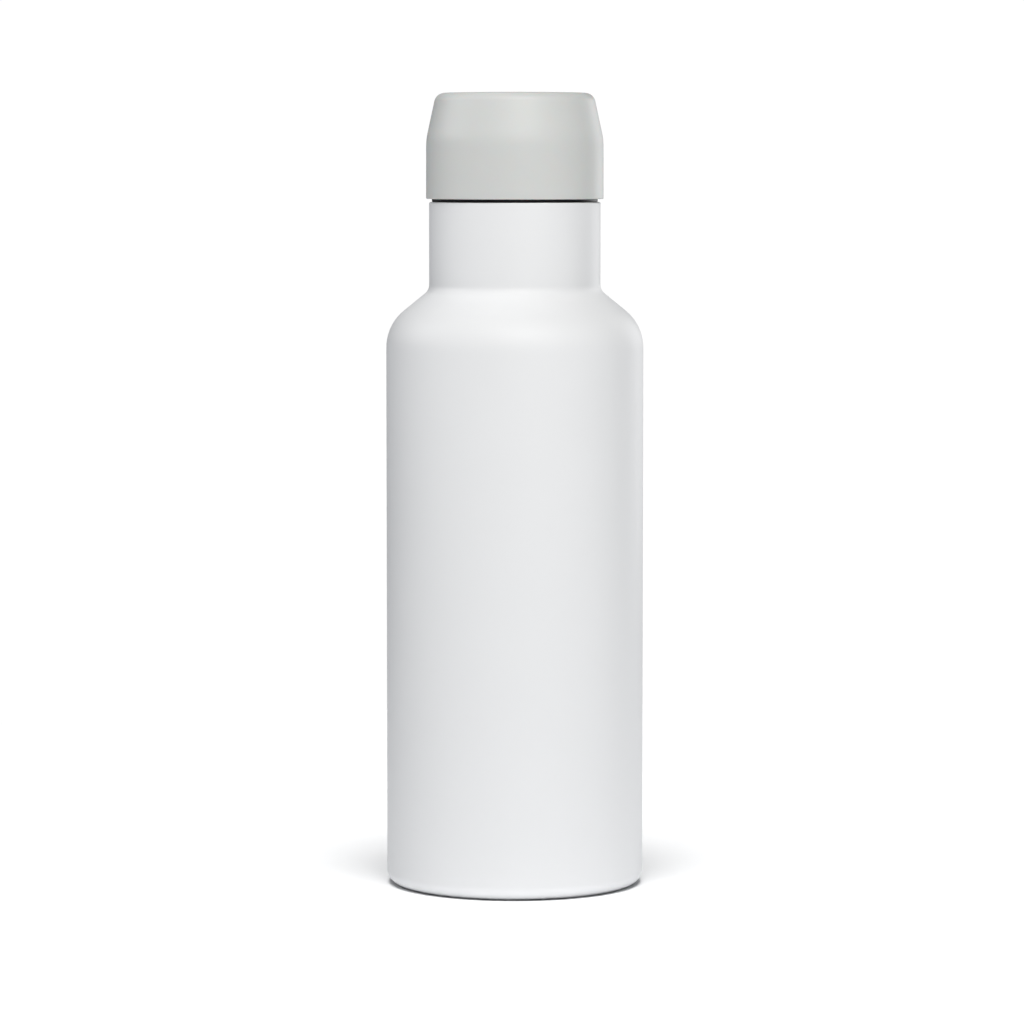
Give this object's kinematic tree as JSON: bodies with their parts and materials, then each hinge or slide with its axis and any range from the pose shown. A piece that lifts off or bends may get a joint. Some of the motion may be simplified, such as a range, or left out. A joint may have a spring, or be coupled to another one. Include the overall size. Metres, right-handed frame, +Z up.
{
  "type": "insulated water bottle",
  "caption": "Double-walled vacuum water bottle with a rounded shoulder, narrow neck and tapered screw-in insulated cap on a silicone rim gasket.",
  "frame": {"origin": "centre of the ring that the bottle stands on, on the bottle's axis", "axes": "+Z up along the bottle's axis, from the base to the cap; the bottle is round, so +X and +Y are free"},
  "size_m": [0.073, 0.073, 0.225],
  "materials": {
    "powder_coat": "matte",
    "steel": "satin",
    "copper": "satin",
    "getter": "matte",
    "solder_glass": "gloss",
    "silicone": "matte",
    "cap_plastic": "matte",
    "plug_plastic": "satin",
    "foam": "matte"
  },
  "bodies": {
    "bottle": {"outer_shell": "powder_coat", "base_pan": "steel", "seal_bead": "solder_glass", "base_cover": "powder_coat", "liner_body": "steel", "liner_bottom": "steel", "copper_foil": "copper", "getter_cup": "steel", "getter_pellet": "getter"},
    "seal": {"rim_gasket": "silicone"},
    "cap": {"cap_shell": "cap_plastic", "plug_body": "plug_plastic", "plug_floor": "plug_plastic", "plug_foam": "foam", "crown_foam": "foam"}
  },
  "joints": [
    {"name": "cap_lift", "type": "slide", "parent": "bottle", "child": "seal", "axis": [0, 0, 1], "range_m": [0, 0.024]},
    {"name": "cap_turn", "type": "hinge", "parent": "seal", "child": "cap", "pos_m": [0, 0, 0.1955], "axis": [0, 0, 1], "range_deg": [0, 1079]}
  ],
  "couplings": [
    {"joint": "cap_lift", "follows": "cap_turn", "m_per_rad": 0.0012732}
  ]
}
